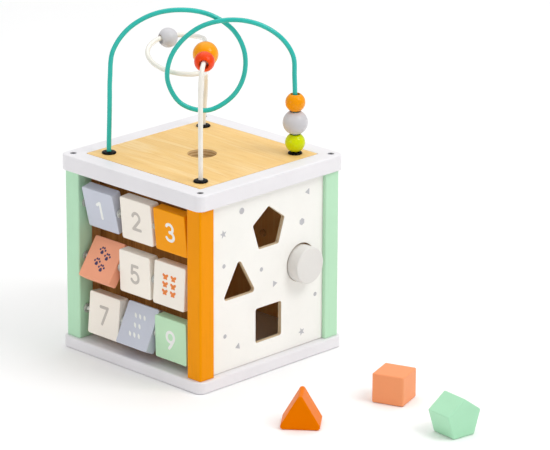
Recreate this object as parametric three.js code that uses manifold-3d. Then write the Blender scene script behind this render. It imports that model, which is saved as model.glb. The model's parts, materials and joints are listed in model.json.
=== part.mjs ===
// Wooden activity cube: a shape sorter with number tiles, a clock face and a bead maze on its lid.
// Millimetres, +Z up. The origin is the middle of the base plate's underside; +X is the sorting face,
// -Y the face with the number tiles, +Y the face with the clock.
import * as THREE from "three";
import { mergeVertices } from "three/addons/utils/BufferGeometryUtils.js";
import Module from "manifold-3d";

const wasm = await Module();
wasm.setup();

// ---- Driving dimensions ----
const GAP = 0.3; // air kept between two pieces that touch on the real toy

const PLATE = 200; // base plate and top frame, outer square
const PLATE_CORNER = 8.5;
const BASE_THICK = 12;
const FRAME_THICK = 16.5;
const FRAME_BOTTOM = 186;
const FRAME_TOP = FRAME_BOTTOM + FRAME_THICK;
const FRAME_OPENING = 148; // clear square through the frame
const FRAME_OPENING_CORNER = 4;
const LID_SEAT = 162.8; // wider square that the lid drops into
const LID = 162;
const LID_THICK = 9.5;
const LID_CORNER = 2;
const FINGER_HOLE_RADIUS = 14.5;
const EDGE = 1; // chamfer on the painted edges

const POST = 19;
const POST_CORNER = 1.5;
const POST_CENTRE = 86.5; // from the cube's middle, in X and in Y
const POST_INNER = POST_CENTRE - POST / 2;
const POST_BOTTOM = BASE_THICK + GAP;
const POST_TOP = FRAME_BOTTOM - GAP;

const PANEL_THICK = 5;
const PANEL_FACE = 92; // outer face of the side panels
const PANEL_BACK = PANEL_FACE - PANEL_THICK;
const PANEL_WIDTH = 163;
const GROOVE_DEPTH = 5;
const INNER_WALL_Y = -55;
const INNER_WALL_THICK = 3;

const FRAME_SCREW_AT = 90;
const SCREW_HEAD_RADIUS = 3.1;
const SCREW_HEAD_THICK = 2;
const SCREW_HEAD_RIM = 0.6;
const SCREW_SUNK = 0.2; // below the top of the frame
const SCREW_POINT = 1;
const SCREW_SHANK_RADIUS = 1.75;
const SCREW_LENGTH = 30;

// Number tiles: three rods with three tiles each.
const TILE = 44;
const TILE_THICK = 12;
const TILE_CORNER = 3;
const ROD_Y = -POST_CENTRE;
const ROD_RADIUS = 2;
const ROD_LENGTH = 166;
const ROD_HEIGHTS = [154, 98.3, 42.6];
// Middle of each tile along its rod: the tiles have a few millimetres of play.
const TILE_X = [-49, 2.8, 50.4, -48.4, 0, 48.7, -45.6, 2.5, 50.3];
const TILES_PER_ROD = 3;
const TILE_BORE_RADIUS = 2.1; // 0.1 mm running clearance on the rod
const SPACER_RADIUS = 4.8;
const SPACER_BORE_RADIUS = 2.3;
const SPACER_LENGTH = 3;
const END_SPACER_LENGTH = 1.5;
// How far each tile leans out at its top, in degrees.
const TILE_LEAN = [13.5, 5.3, 5.6, -34.2, 1.5, -3.4, -5.2, -25.5, 1];

// Openings of the sorting face, as Y and Z on the panel.
const PENTAGON_HOLE = { y: 1.4, z: 146, radius: 23, corner: 2 };
const TRIANGLE_HOLE = { y: -39, z: 98.2, radius: 26, corner: 3 };
const SQUARE_HOLE = { y: 1.4, z: 48.5, radius: 25.2, corner: 2.5 };
const ROUND_HOLE = { y: 46.7, z: 100, radius: 19.7 };

// Sorting blocks.
const BLOCK_LENGTH = 30;
const BLOCK_EDGE = 0.8; // chamfer
const ROUND_BLOCK_RADIUS = 18.8;
const ROUND_BLOCK_PROUD = 13; // how far it stands out of the sorting face
const ROUND_BLOCK_DROP = 0.7; // it rests on the lower edge of its hole
const TRIANGLE_BLOCK = { x: 220.2, y: -83.5, yaw: 39.7, radius: 24.6, corner: 3 };
const SQUARE_BLOCK = { x: 237.2, y: 27.5, yaw: 19.8, radius: 23.2, corner: 1.6 };
const PENTAGON_BLOCK = { x: 335.9, y: 4.5, yaw: -7.2, radius: 21.3, corner: 1.4 };

// Clock on the +Y panel.
const CLOCK_HEIGHT = 99;
const HAND_THICK = 2.2;
const HAND_EDGE = 0.4; // chamfer
const HAND_BORE_RADIUS = 2.05; // 0.05 mm running clearance on the pin
const HOUR_HAND = { reach: 30, width: 8, hub: 8, turn: 55, proud: GAP };
const MINUTE_HAND = { reach: 46, width: 6, hub: 6.5, turn: -60, proud: HAND_THICK + 2 * GAP };
const CLOCK_PIN_RADIUS = 2;
const CLOCK_PIN_HEAD = 4;
const CLOCK_PIN_CROWN = 2.8; // flat of the domed head
const CLOCK_PIN_HEAD_THICK = 2;
const CLOCK_PIN_RIM = 1.6;

// Bead maze. Its four legs stand on a circle, every quarter turn, starting on the diagonal.
const LEG_AT = 65; // X and Y of each grommet
const WIRE_RADIUS = 2.45;
const WIRE_SIDES = 8;
const WIRE_STEPS = 100;
const WIRE_END = 190;
const WIRE_HOLE_RADIUS = 2.65;
const GROMMET_NECK_RADIUS = 4.7;
const GROMMET_FLANGE_RADIUS = 7.25;
const GROMMET_RIM = 0.9; // height of the flange's upright edge
const GROMMET_SHOULDER_RADIUS = 5.6; // where the domed flange turns flat
const GROMMET_PROUD = 2.5;
const GROMMET_FOOT = FRAME_TOP - LID_THICK + 1;
const GROMMET_TOP = FRAME_TOP + GROMMET_PROUD;
const SMALL_BEAD = { radius: 10, bore: 4.7 };
const LARGE_BEAD = { radius: 12.5, bore: 4.9 };
// The two beads at rest on the white wire: middle, and direction of the bore.
const RED_BEAD = { across: 3.5, back: -68.9, z: 316.2, lean: [0.06, 1, 0.12] };
const AMBER_BEAD = { across: 4.3, back: -47.5, z: 317.6, lean: [0, 1, -0.03] };
// The white wire's tilted ring.
const RING = { across: -17.35, back: 41, z: 292.3, radius: 37.2, tilt: 15.5, roll: 4 };
const RING_BEAD_AT = 118; // degrees round the ring
const RING_BEAD_DROP = 1.6; // the bead hangs on the wire

const X = new THREE.Vector3(1, 0, 0);
const Y = new THREE.Vector3(0, 1, 0);
const Z = new THREE.Vector3(0, 0, 1);

// ---- Solids: three.js geometry in and out of manifold-3d ----
function solid(geometry) {
  const bare = geometry.clone();
  bare.deleteAttribute("normal");
  bare.deleteAttribute("uv");
  const merged = mergeVertices(bare, 1e-3);
  return new wasm.Manifold(
    new wasm.Mesh({
      numProp: 3,
      vertProperties: merged.attributes.position.array,
      triVerts: new Uint32Array(merged.index.array),
    }),
  );
}

function geometryOf(body) {
  const mesh = body.getMesh();
  const geometry = new THREE.BufferGeometry();
  geometry.setAttribute("position", new THREE.BufferAttribute(mesh.vertProperties, 3));
  geometry.setIndex(new THREE.BufferAttribute(mesh.triVerts, 1));
  return geometry.toNonIndexed();
}

function cut(geometry, tools) {
  let body = solid(geometry);
  for (const tool of tools) body = body.subtract(solid(tool));
  return geometryOf(body);
}

// ---- Outlines ----
function roundedSquare(side, corner) {
  const inner = side / 2 - corner;
  const shape = new THREE.Shape();
  shape.absarc(inner, inner, corner, 0, Math.PI / 2);
  shape.absarc(-inner, inner, corner, Math.PI / 2, Math.PI);
  shape.absarc(-inner, -inner, corner, Math.PI, 1.5 * Math.PI);
  shape.absarc(inner, -inner, corner, 1.5 * Math.PI, 2 * Math.PI);
  shape.closePath();
  return shape;
}

// A regular polygon with rounded corners; radius reaches the corners as if they were sharp.
function roundedPolygon(sides, radius, corner, firstCorner) {
  const half = Math.PI / sides;
  const reach = radius - corner / Math.cos(half);
  const shape = new THREE.Shape();
  for (let i = 0; i < sides; i++) {
    const angle = firstCorner + 2 * half * i;
    shape.absarc(
      reach * Math.cos(angle),
      reach * Math.sin(angle),
      corner,
      angle - half,
      angle + half,
    );
  }
  shape.closePath();
  return shape;
}

// ---- Geometry builders ----
// An outline from z0 to z1, with an optional chamfer on both ends.
function slab(shape, z0, z1, chamfer = 0, curveSegments = 3) {
  const geometry = new THREE.ExtrudeGeometry(shape, {
    depth: z1 - z0 - 2 * chamfer,
    bevelEnabled: chamfer > 0,
    bevelThickness: chamfer,
    bevelSize: chamfer,
    bevelOffset: -chamfer,
    bevelSegments: 1,
    curveSegments,
  });
  return geometry.translate(0, 0, z0 + chamfer);
}

function box(x0, x1, y0, y1, z0, z1) {
  const geometry = new THREE.BoxGeometry(x1 - x0, y1 - y0, z1 - z0);
  return geometry.translate((x0 + x1) / 2, (y0 + y1) / 2, (z0 + z1) / 2);
}

// A round bar along Z.
function bar(radius, z0, z1, sides = 24) {
  const geometry = new THREE.CylinderGeometry(radius, radius, z1 - z0, sides);
  return geometry.rotateX(Math.PI / 2).translate(0, 0, (z0 + z1) / 2);
}

// Points are [radius, height] pairs in the order that leaves the material on their left.
function turned(points, sides) {
  const profile = points.map(([radius, height]) => new THREE.Vector2(radius, height));
  return new THREE.LatheGeometry(profile, sides).rotateX(Math.PI / 2);
}

function ringProfile(inner, outer, z0, z1) {
  return [
    [inner, z0],
    [outer, z0],
    [outer, z1],
    [inner, z1],
    [inner, z0],
  ];
}

// Turns a geometry whose outline lies in X-Y so that the outline's axes become u and v.
function lay(geometry, u, v) {
  const out = new THREE.Vector3().crossVectors(u, v);
  return geometry.applyMatrix4(new THREE.Matrix4().makeBasis(u, v, out));
}

// ---- Scene graph ----
const toy = new THREE.Group();

function paint(colour, roughness = 0.45, metalness = 0) {
  return new THREE.MeshStandardMaterial({ color: colour, roughness, metalness });
}

const WHITE_PAINT = paint("#ecebee");
const MINT_PAINT = paint("#a8d5ac");
const ORANGE_PAINT = paint("#ec920f");
const PANEL_PAINT = paint("#f5f4f0");
const PLYWOOD = paint("#efcf95", 0.6);
const WALL_WOOD = paint("#8a5a34", 0.7);
const BLACK_PLASTIC = paint("#141416", 0.25);
const DARK_STEEL = paint("#4a4a4e", 0.35, 0.9);
const ROD_PAINT = paint("#e8e8e6", 0.35, 0.2);
const SPACER_PLASTIC = paint("#e6e9e8", 0.4);
const TEAL_PAINT = paint("#35bdb0", 0.3);
const WHITE_WIRE_PAINT = paint("#f3f0ea", 0.3);
const TILE_PAINTS = {
  blue: paint("#bec2cd"),
  white: paint("#ece6e0"),
  orange: paint("#ee941e"),
  coral: paint("#f29e76"),
  mint: paint("#b0d7b2"),
};
const BEAD_PAINTS = {
  lime: paint("#b4d22d", 0.35),
  grey: paint("#c9ccd6", 0.35),
  orange: paint("#f0962d", 0.35),
  amber: paint("#f7a614", 0.35),
  red: paint("#f0551e", 0.35),
};
const BLOCK_PAINTS = {
  orange: paint("#f9a032"),
  coral: paint("#f6a986"),
  mint: paint("#b7edd2"),
  grey: paint("#dcdadc"),
};

function add(name, geometry, material, place) {
  const mesh = new THREE.Mesh(geometry, material);
  mesh.name = name;
  if (place) place(mesh);
  toy.add(mesh);
}

// ---- Base, posts and top frame ----
function makeBase() {
  const outline = roundedSquare(PLATE, PLATE_CORNER);
  add("base_plate", slab(outline, 0, BASE_THICK, EDGE), WHITE_PAINT);
}

// One corner post: a groove in each face that meets a panel, sockets for the rods and a screw hole.
function postGeometry(sideX, sideY) {
  const cx = sideX * POST_CENTRE;
  const cy = sideY * POST_CENTRE;
  const outline = roundedSquare(POST, POST_CORNER);
  const body = slab(outline, POST_BOTTOM, POST_TOP, 0, 2).translate(cx, cy, 0);
  const grooveLow = PANEL_BACK - GAP;
  const grooveHigh = PANEL_FACE + GAP;
  const innerEnd = POST_INNER - 1;
  const tools = [];
  const sideGroove = box(grooveLow, grooveHigh, innerEnd, POST_INNER + GROOVE_DEPTH, 0, FRAME_TOP);
  tools.push(mirrored(sideGroove, sideX, sideY));
  if (sideY > 0) {
    const backGroove = box(innerEnd, POST_INNER + GROOVE_DEPTH, grooveLow, grooveHigh, 0, FRAME_TOP);
    tools.push(mirrored(backGroove, sideX, sideY));
  } else {
    for (const z of ROD_HEIGHTS) {
      const socket = bar(ROD_RADIUS + GAP, -ROD_LENGTH / 2 - GAP, ROD_LENGTH / 2 + GAP, 16);
      tools.push(socket.rotateY(Math.PI / 2).translate(0, ROD_Y, z));
    }
  }
  const screwHole = bar(SCREW_SHANK_RADIUS + GAP, FRAME_TOP - SCREW_LENGTH - 1, FRAME_TOP, 16);
  tools.push(screwHole.translate(sideX * FRAME_SCREW_AT, sideY * FRAME_SCREW_AT, 0));
  return cut(body, tools);
}

// A box drawn in the (+X, +Y) quarter, moved to another quarter.
function mirrored(geometry, sideX, sideY) {
  geometry.computeBoundingBox();
  const { min, max } = geometry.boundingBox;
  const centreX = (min.x + max.x) / 2;
  const centreY = (min.y + max.y) / 2;
  return geometry.translate((sideX - 1) * centreX, (sideY - 1) * centreY, 0);
}

function makePosts() {
  add("post_front_right", postGeometry(1, -1), ORANGE_PAINT);
  add("post_front_left", postGeometry(-1, -1), MINT_PAINT);
  add("post_back_right", postGeometry(1, 1), MINT_PAINT);
  add("post_back_left", postGeometry(-1, 1), ORANGE_PAINT);
}

function makeTopFrame() {
  const tools = [
    slab(roundedSquare(FRAME_OPENING, FRAME_OPENING_CORNER), FRAME_BOTTOM - 1, FRAME_TOP + 1),
    slab(roundedSquare(LID_SEAT, LID_CORNER), FRAME_TOP - LID_THICK - GAP, FRAME_TOP + 1),
  ];
  for (const [x, y] of corners(FRAME_SCREW_AT)) {
    tools.push(bar(SCREW_SHANK_RADIUS + GAP, FRAME_BOTTOM - 1, FRAME_TOP + 1, 16).translate(x, y, 0));
    const floor = FRAME_TOP - SCREW_SUNK - SCREW_HEAD_THICK - GAP;
    tools.push(bar(SCREW_HEAD_RADIUS + GAP, floor, FRAME_TOP + 1, 16).translate(x, y, 0));
  }
  const outline = roundedSquare(PLATE, PLATE_CORNER);
  add("top_frame", cut(slab(outline, FRAME_BOTTOM, FRAME_TOP, EDGE), tools), WHITE_PAINT);
}

// The four corners of a square, anticlockwise from (+, -).
function corners(at) {
  return [
    [at, -at],
    [at, at],
    [-at, at],
    [-at, -at],
  ];
}

function makeFrameScrews() {
  const top = FRAME_TOP - SCREW_SUNK;
  const profile = [
    [0, top - SCREW_LENGTH],
    [SCREW_SHANK_RADIUS, top - SCREW_LENGTH + SCREW_POINT],
    [SCREW_SHANK_RADIUS, top - SCREW_HEAD_THICK],
    [SCREW_HEAD_RADIUS, top - SCREW_HEAD_RIM],
    [SCREW_HEAD_RADIUS, top],
    [0, top],
  ];
  corners(FRAME_SCREW_AT).forEach(([x, y], i) => {
    add("frame_screw_" + (i + 1), turned(profile, 12).translate(x, y, 0), DARK_STEEL);
  });
}

// ---- Side panels ----
function panelGeometry(tools) {
  const half = PANEL_WIDTH / 2;
  return cut(box(PANEL_BACK, PANEL_FACE, -half, half, POST_BOTTOM, POST_TOP), tools);
}

// A tool through the sorting face, from an outline drawn as seen from outside.
function throughPanel(shape, { y, z }) {
  const depth = 2 * PANEL_THICK;
  return lay(slab(shape, -depth / 2, depth / 2), Y, Z).translate(PANEL_FACE - PANEL_THICK / 2, y, z);
}

function makePanels() {
  const up = Math.PI / 2;
  const pentagon = roundedPolygon(5, PENTAGON_HOLE.radius, PENTAGON_HOLE.corner, up);
  const triangle = roundedPolygon(3, TRIANGLE_HOLE.radius, TRIANGLE_HOLE.corner, up);
  const square = roundedPolygon(4, SQUARE_HOLE.radius, SQUARE_HOLE.corner, up / 2);
  const circle = bar(ROUND_HOLE.radius, -PANEL_THICK, PANEL_THICK, 36).rotateY(up);
  const sorter = panelGeometry([
    throughPanel(pentagon, PENTAGON_HOLE),
    throughPanel(triangle, TRIANGLE_HOLE),
    throughPanel(square, SQUARE_HOLE),
    circle.translate(PANEL_FACE - PANEL_THICK / 2, ROUND_HOLE.y, ROUND_HOLE.z),
  ]);
  add("sorter_panel", sorter, PANEL_PAINT);
  add("left_panel", panelGeometry([]).rotateZ(Math.PI), PANEL_PAINT);

  const pinHole = bar(CLOCK_PIN_RADIUS + GAP, PANEL_BACK - 1, PANEL_FACE + 1, 16);
  const clockSide = panelGeometry([pinHole.rotateY(up).translate(0, 0, CLOCK_HEIGHT)]);
  add("clock_panel", clockSide.rotateZ(up), PANEL_PAINT);

  const reach = PANEL_BACK - GAP;
  const wallBack = INNER_WALL_Y - INNER_WALL_THICK;
  add("inner_wall", box(-reach, reach, wallBack, INNER_WALL_Y, POST_BOTTOM, POST_TOP), WALL_WOOD);
}

// ---- Number tiles on their rods ----
function tileGeometry() {
  const plate = slab(roundedSquare(TILE, TILE_CORNER), -TILE_THICK / 2, TILE_THICK / 2, EDGE, 2);
  const bore = bar(TILE_BORE_RADIUS, -TILE, TILE).rotateY(Math.PI / 2);
  return cut(lay(plate, X, Z), [bore]);
}

function makeTileRows() {
  const colours = ["blue", "white", "orange", "coral", "white", "white", "white", "blue", "mint"];
  const tile = tileGeometry();
  ROD_HEIGHTS.forEach((z, row) => {
    const rod = bar(ROD_RADIUS, -ROD_LENGTH / 2, ROD_LENGTH / 2).rotateY(Math.PI / 2);
    add("rod_" + (row + 1), rod, ROD_PAINT, (mesh) => mesh.position.set(0, ROD_Y, z));

    // One thin spacer against each post, and one thicker spacer to the right of each tile but the last.
    const spacer = "spacer_" + (row + 1) + "_";
    const endX = POST_INNER - GAP - END_SPACER_LENGTH / 2;
    addSpacer(spacer + 1, -endX, z, END_SPACER_LENGTH);
    for (let column = 0; column < TILES_PER_ROD; column++) {
      const index = TILES_PER_ROD * row + column;
      add("tile_" + (index + 1), tile, TILE_PAINTS[colours[index]], (mesh) => {
        mesh.position.set(TILE_X[index], ROD_Y, z);
        mesh.rotation.x = THREE.MathUtils.degToRad(TILE_LEAN[index]);
      });
      const besideTile = TILE_X[index] + TILE / 2 + GAP + SPACER_LENGTH / 2;
      if (column < TILES_PER_ROD - 1) addSpacer(spacer + (column + 2), besideTile, z, SPACER_LENGTH);
    }
    addSpacer(spacer + (TILES_PER_ROD + 1), endX, z, END_SPACER_LENGTH);
  });
}

function addSpacer(name, x, z, length) {
  const profile = ringProfile(SPACER_BORE_RADIUS, SPACER_RADIUS, -length / 2, length / 2);
  const ring = turned(profile, 12).rotateY(Math.PI / 2);
  add(name, ring, SPACER_PLASTIC, (mesh) => mesh.position.set(x, ROD_Y, z));
}

// ---- Sorting blocks ----
function makeBlocks() {
  const half = BLOCK_LENGTH / 2;
  const up = Math.PI / 2;
  const roundBlock = bar(ROUND_BLOCK_RADIUS, -half, half, 32).rotateY(up);
  add("round_block", roundBlock, BLOCK_PAINTS.grey, (mesh) => {
    const x = PANEL_FACE + ROUND_BLOCK_PROUD - half;
    mesh.position.set(x, ROUND_HOLE.y, ROUND_HOLE.z - ROUND_BLOCK_DROP);
  });

  const triangle = roundedPolygon(3, TRIANGLE_BLOCK.radius, TRIANGLE_BLOCK.corner, up);
  const triangleBlock = lay(slab(triangle, -half, half, BLOCK_EDGE), X, Z);
  addLoose("triangle_block", triangleBlock, BLOCK_PAINTS.orange, TRIANGLE_BLOCK);

  const square = roundedPolygon(4, SQUARE_BLOCK.radius, SQUARE_BLOCK.corner, up / 2);
  const squareBlock = slab(square, -half, half, BLOCK_EDGE);
  addLoose("square_block", squareBlock, BLOCK_PAINTS.coral, SQUARE_BLOCK);

  const pentagon = roundedPolygon(5, PENTAGON_BLOCK.radius, PENTAGON_BLOCK.corner, up);
  const pentagonBlock = lay(slab(pentagon, -half, half, BLOCK_EDGE), Y, Z);
  addLoose("pentagon_block", pentagonBlock, BLOCK_PAINTS.mint, PENTAGON_BLOCK);
}

// A block that lies beside the cube, resting on its lowest face.
function addLoose(name, geometry, material, { x, y, yaw }) {
  geometry.computeBoundingBox();
  const rest = -geometry.boundingBox.min.z;
  add(name, geometry, material, (mesh) => {
    mesh.position.set(x, y, rest);
    mesh.rotation.z = THREE.MathUtils.degToRad(yaw);
  });
}

// ---- Clock ----
// A hand seen from outside: a round hub with a tapering arm and a round tip.
function handGeometry({ reach, width, hub, turn, proud }) {
  const arm = width / 2;
  const tip = arm * 0.6;
  const start = Math.acos(arm / hub);
  const shape = new THREE.Shape();
  shape.absarc(0, 0, hub, Math.PI - start, 2 * Math.PI + start);
  shape.absarc(0, reach - tip, tip, 0, Math.PI);
  shape.closePath();
  const bore = bar(HAND_BORE_RADIUS, -HAND_THICK, 2 * HAND_THICK);
  const hand = cut(slab(shape, 0, HAND_THICK, HAND_EDGE, 6), [bore]);
  hand.rotateZ(THREE.MathUtils.degToRad(turn));
  return lay(hand, X.clone().negate(), Z).translate(0, PANEL_FACE + proud, CLOCK_HEIGHT);
}

function makeClock() {
  add("hour_hand", handGeometry(HOUR_HAND), ORANGE_PAINT);
  add("minute_hand", handGeometry(MINUTE_HAND), MINT_PAINT);
  const outerHead = PANEL_FACE + MINUTE_HAND.proud + HAND_THICK + GAP;
  const innerHead = PANEL_BACK - GAP;
  const profile = [
    [0, innerHead - CLOCK_PIN_HEAD_THICK],
    [CLOCK_PIN_HEAD, innerHead - CLOCK_PIN_HEAD_THICK],
    [CLOCK_PIN_HEAD, innerHead],
    [CLOCK_PIN_RADIUS, innerHead],
    [CLOCK_PIN_RADIUS, outerHead],
    [CLOCK_PIN_HEAD, outerHead],
    [CLOCK_PIN_CROWN, outerHead + CLOCK_PIN_RIM],
    [0, outerHead + CLOCK_PIN_HEAD_THICK],
  ];
  const pin = turned(profile, 24).rotateX(-Math.PI / 2).translate(0, 0, CLOCK_HEIGHT);
  add("clock_pin", pin, DARK_STEEL);
}

// ---- Lid and grommets ----
function makeLid() {
  const tools = [bar(FINGER_HOLE_RADIUS, 0, FRAME_TOP + 1, 32)];
  for (const [x, y] of corners(LEG_AT)) {
    tools.push(bar(GROMMET_NECK_RADIUS + GAP, 0, FRAME_TOP + 1, 14).translate(x, y, 0));
  }
  const plate = slab(roundedSquare(LID, LID_CORNER), FRAME_TOP - LID_THICK, FRAME_TOP, 0, 1);
  add("lid_panel", cut(plate, tools), PLYWOOD);

  const flange = FRAME_TOP + GAP;
  const profile = [
    [WIRE_HOLE_RADIUS, GROMMET_FOOT],
    [GROMMET_NECK_RADIUS, GROMMET_FOOT],
    [GROMMET_NECK_RADIUS, flange],
    [GROMMET_FLANGE_RADIUS, flange],
    [GROMMET_FLANGE_RADIUS, flange + GROMMET_RIM],
    [GROMMET_SHOULDER_RADIUS, GROMMET_TOP],
    [WIRE_HOLE_RADIUS, GROMMET_TOP],
    [WIRE_HOLE_RADIUS, GROMMET_FOOT],
  ];
  corners(LEG_AT).forEach(([x, y], i) => {
    add("grommet_" + (i + 1), turned(profile, 14).translate(x, y, 0), BLACK_PLASTIC);
  });
}

// ---- Bead maze ----
// A place given across the near diagonal, towards the back, and up.
function maze(across, back, z) {
  return new THREE.Vector3((across - back) * Math.SQRT1_2, (across + back) * Math.SQRT1_2, z);
}

function wireGeometry(points) {
  const section = new THREE.Shape();
  section.absarc(0, 0, WIRE_RADIUS, 0, 2 * Math.PI);
  return new THREE.ExtrudeGeometry(section, {
    steps: WIRE_STEPS,
    curveSegments: WIRE_SIDES / 2,
    extrudePath: new THREE.CatmullRomCurve3(points, false, "centripetal"),
  });
}

// A point of the white wire's ring, angle in degrees: 0 is across, 90 towards the back.
function onRing(degrees) {
  const angle = THREE.MathUtils.degToRad(degrees);
  const across = maze(1, 0, 0);
  const uphill = maze(0, 1, 0);
  uphill.applyAxisAngle(across, THREE.MathUtils.degToRad(RING.tilt));
  across.applyAxisAngle(maze(0, 1, 0), THREE.MathUtils.degToRad(RING.roll));
  const point = maze(RING.across, RING.back, RING.z);
  point.addScaledVector(across, RING.radius * Math.cos(angle));
  return point.addScaledVector(uphill, RING.radius * Math.sin(angle));
}

const LEG = LEG_AT * Math.SQRT2;

// The teal wire runs across, makes one big loop in the middle, and is bent by hand.
function tealRoute() {
  return [
    [-LEG, 0, WIRE_END],
    [-LEG, 0, 212],
    [-91.3, 0, 235],
    [-90.8, 0, 255],
    [-90.2, 0, 280],
    [-87.1, 0, 307],
    [-71.7, 0, 329.8],
    [-46.3, 0.5, 344.8],
    [-18, 1, 348.7],
    [8.3, 2, 343.5],
    [30.5, 3.2, 328],
    [41.7, 3, 305.9],
    [41.1, 2, 281.2],
    [29.8, 1, 260.8],
    [5.5, 0, 246.9],
    [-20.3, -1, 254],
    [-33.4, -2, 276.7],
    [-31.4, -2.6, 298.8],
    [-20, -3.2, 318],
    [1.2, -3.4, 334],
    [30, -3, 339.9],
    [56.8, -2, 334.8],
    [78.2, -1, 320.7],
    [89.5, 0, 302.5],
    [91, 0, 281],
    [LEG, 0, 240],
    [LEG, 0, WIRE_END],
  ].map(([across, back, z]) => maze(across, back, z));
}

// The white wire runs from front to back, with a tilted ring on its left.
function whiteRoute() {
  const ring = [];
  for (let degrees = 90; degrees <= 280; degrees += 19) ring.push(onRing(degrees));
  return [
    maze(0, -LEG, WIRE_END),
    maze(0, -LEG, 283),
    maze(0.2, -91, 299),
    maze(1.2, -86, 311),
    maze(2.8, -76, 316.5),
    maze(4, -60, 318.3),
    maze(4.4, -38, 318),
    maze(4.2, -14, 315.5),
    maze(3.8, 6, 313),
    maze(2.8, 24, 311),
    maze(1.5, 40, 308.9),
    maze(-2, 54, 306.3),
    maze(-6.1, 64, 304.3),
    maze(-11.3, 72, 302.9),
    ...ring,
    maze(-1.5, 10, 281.8),
    maze(2, 22, 278.5),
    maze(3.2, 36, 275.5),
    maze(3.4, 52, 271.5),
    maze(3.2, 70, 266),
    maze(2.9, 84, 257),
    maze(2.6, 91, 244),
    maze(1.4, LEG, 226),
    maze(0.3, LEG, 212),
    maze(0, LEG, 203),
    maze(0, LEG, WIRE_END),
  ];
}

// A ball with a wide hole along its axis.
function beadGeometry({ radius, bore }) {
  const bands = 7;
  const first = Math.asin(bore / radius);
  const points = [];
  for (let i = 0; i <= bands; i++) {
    const angle = first + ((Math.PI - 2 * first) * i) / bands;
    points.push([radius * Math.sin(angle), -radius * Math.cos(angle)]);
  }
  points.push(points[0]);
  return turned(points, 18);
}

// Half the length of a bead along its bore.
function halfLength({ radius, bore }) {
  return Math.sqrt(radius * radius - bore * bore);
}

function addBead(name, size, material, centre, direction) {
  add(name, beadGeometry(size), material, (mesh) => {
    mesh.position.copy(centre);
    mesh.quaternion.setFromUnitVectors(Z, direction.clone().normalize());
  });
}

function makeMaze() {
  add("teal_wire", wireGeometry(tealRoute()), TEAL_PAINT);
  add("white_wire", wireGeometry(whiteRoute()), WHITE_WIRE_PAINT);

  const small = halfLength(SMALL_BEAD);
  const large = halfLength(LARGE_BEAD);
  const lime = GROMMET_TOP + GAP + small;
  const grey = lime + small + GAP + large;
  const orange = grey + large + GAP + small;
  addBead("bead_lime", SMALL_BEAD, BEAD_PAINTS.lime, maze(LEG, 0, lime), Z);
  addBead("bead_grey", LARGE_BEAD, BEAD_PAINTS.grey, maze(LEG, 0, grey), Z);
  addBead("bead_orange", SMALL_BEAD, BEAD_PAINTS.orange, maze(LEG, 0, orange), Z);

  const red = maze(RED_BEAD.across, RED_BEAD.back, RED_BEAD.z);
  addBead("bead_red", SMALL_BEAD, BEAD_PAINTS.red, red, maze(...RED_BEAD.lean));
  const amber = maze(AMBER_BEAD.across, AMBER_BEAD.back, AMBER_BEAD.z);
  addBead("bead_amber", LARGE_BEAD, BEAD_PAINTS.amber, amber, maze(...AMBER_BEAD.lean));

  const ahead = onRing(RING_BEAD_AT + 5).sub(onRing(RING_BEAD_AT - 5));
  const centre = onRing(RING_BEAD_AT).addScaledVector(Z, -RING_BEAD_DROP);
  addBead("bead_ring", SMALL_BEAD, BEAD_PAINTS.grey, centre, ahead);
}

makeBase();
makePosts();
makeTopFrame();
makeFrameScrews();
makePanels();
makeTileRows();
makeBlocks();
makeClock();
makeLid();
makeMaze();

export default toy;
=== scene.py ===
"""Looks of the wooden shape sorter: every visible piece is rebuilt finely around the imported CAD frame.

Metres, +Z up. The sorting face is +X, the number tiles are on -Y, the clock is on +Y.
"""

import json
import math

import bmesh
import bpy
from mathutils import Matrix, Vector
from mathutils.geometry import tessellate_polygon


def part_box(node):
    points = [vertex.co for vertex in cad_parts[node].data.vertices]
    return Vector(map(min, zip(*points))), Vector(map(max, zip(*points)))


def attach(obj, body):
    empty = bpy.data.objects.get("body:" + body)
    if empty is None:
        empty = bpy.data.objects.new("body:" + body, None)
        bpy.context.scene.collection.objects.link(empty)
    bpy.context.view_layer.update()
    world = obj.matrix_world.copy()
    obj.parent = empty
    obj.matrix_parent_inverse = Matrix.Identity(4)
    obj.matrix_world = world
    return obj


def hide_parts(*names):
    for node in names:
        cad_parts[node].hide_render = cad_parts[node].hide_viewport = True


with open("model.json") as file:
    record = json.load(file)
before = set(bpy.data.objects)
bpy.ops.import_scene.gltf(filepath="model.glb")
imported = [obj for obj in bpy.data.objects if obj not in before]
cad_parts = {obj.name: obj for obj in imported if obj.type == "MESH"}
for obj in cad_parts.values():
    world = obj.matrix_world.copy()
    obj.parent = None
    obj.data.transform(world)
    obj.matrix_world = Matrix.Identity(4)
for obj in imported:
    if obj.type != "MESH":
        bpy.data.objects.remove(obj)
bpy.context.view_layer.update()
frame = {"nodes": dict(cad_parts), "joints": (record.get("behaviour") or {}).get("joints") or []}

MM = 0.001
X = Vector((1, 0, 0))
Y = Vector((0, 1, 0))
Z = Vector((0, 0, 1))

# ---- Sizes that the CAD boxes don't give ----
PRINT_THICK = 0.12 * MM
PRINT_SINK = 0.05 * MM  # how far a print is let into the paint, so that no air shows under it
PRINT_STEP = 0.008 * MM  # overlapping strokes differ by this, so that no two faces coincide
FILLET_BOARD = 1.6 * MM
FILLET_PANEL = 0.7 * MM
FILLET_TILE = 0.9 * MM
FILLET_BLOCK = 1.5 * MM
POST_CORNER = 1.8 * MM
WIRE_SIDES = 20
ARC_STEP = math.radians(9)
QUARTER = math.pi / 2


# ---- Outlines: lists of 2-D points, anticlockwise ----
def arc(cx, cy, radius, start, end):
    """Points of an arc, ends included, in radians; it turns clockwise where end is below start."""
    count = max(2, round(abs(end - start) / ARC_STEP))
    angles = [start + (end - start) * i / count for i in range(count + 1)]
    return [(cx + radius * math.cos(a), cy + radius * math.sin(a)) for a in angles]


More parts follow.
